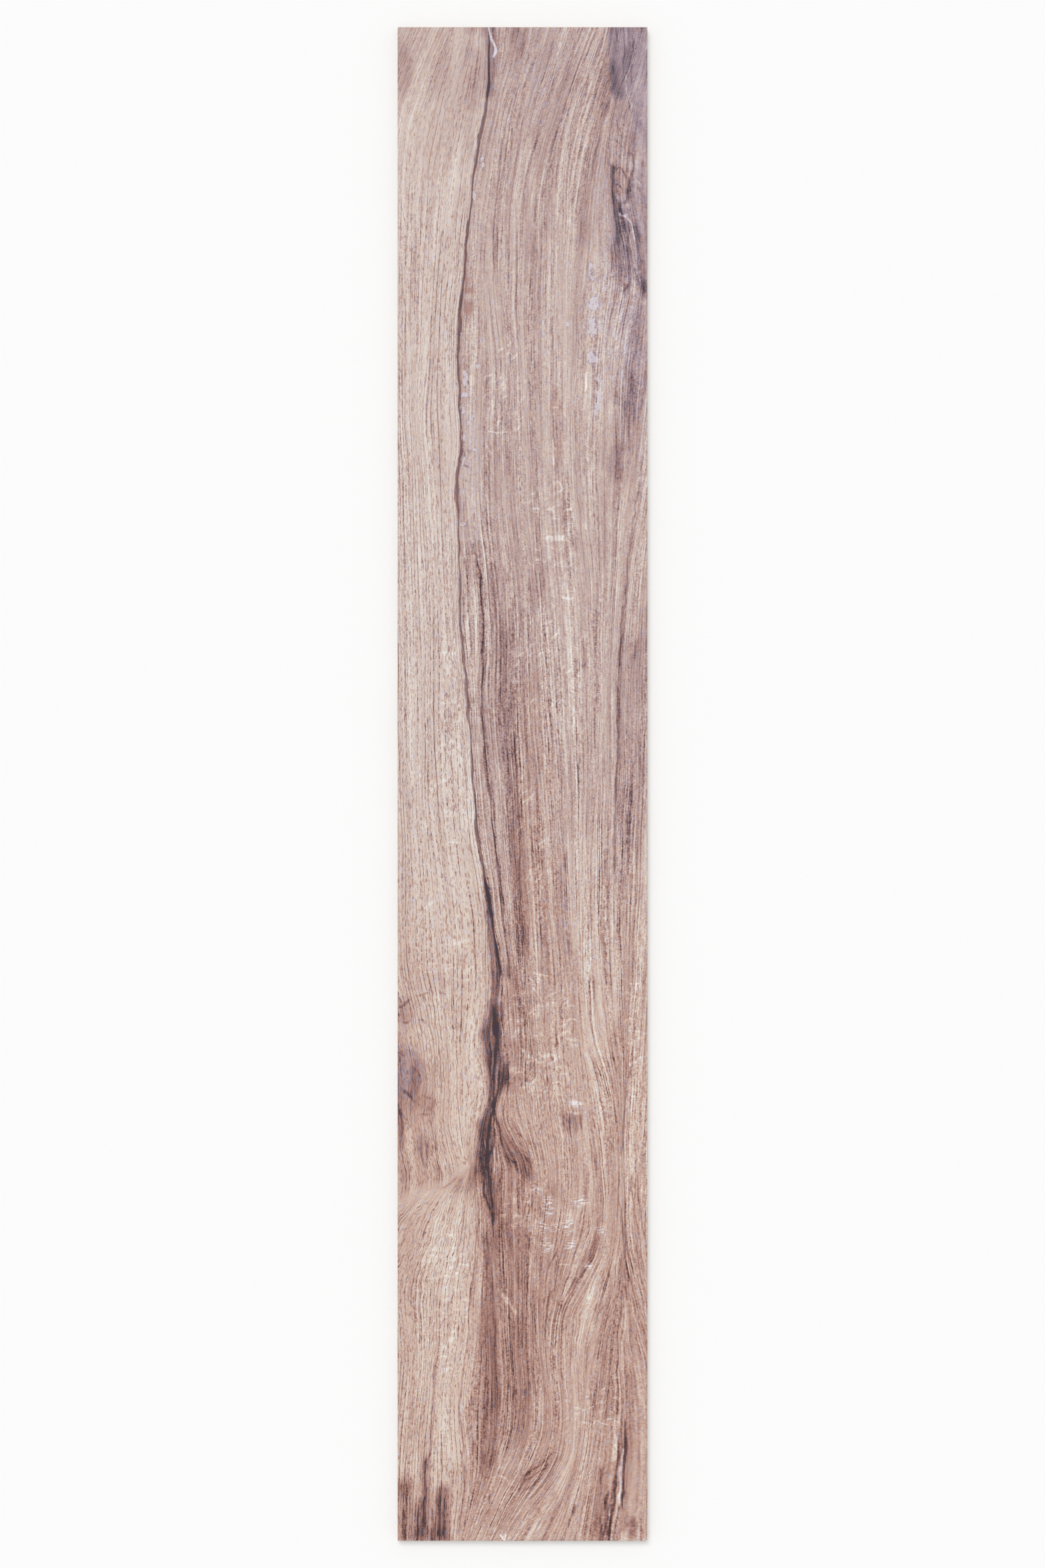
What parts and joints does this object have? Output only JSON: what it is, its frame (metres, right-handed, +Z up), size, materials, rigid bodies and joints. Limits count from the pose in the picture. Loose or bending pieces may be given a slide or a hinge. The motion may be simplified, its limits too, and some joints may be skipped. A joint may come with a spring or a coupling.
{
  "type": "wood look porcelain plank tile",
  "caption": "Long rectangular porcelain floor plank with a wood grain face, bevelled edges and a shallow keyed lattice on its back, bonded to a floor or wall.",
  "frame": {"origin": "middle of the bed plane, the level plane that the back's ribs and rim lie on", "axes": "+X across the plank, +Y along its length, +Z up through the decorated face"},
  "size_m": [0.198, 1.2, 0.01],
  "materials": {
    "porcelain": "matt glaze printed as pale brown oak with darker heartwood, cracks and knots"
  },
  "bodies": {
    "root": {"plank_tile": "porcelain"}
  },
  "joints": []
}
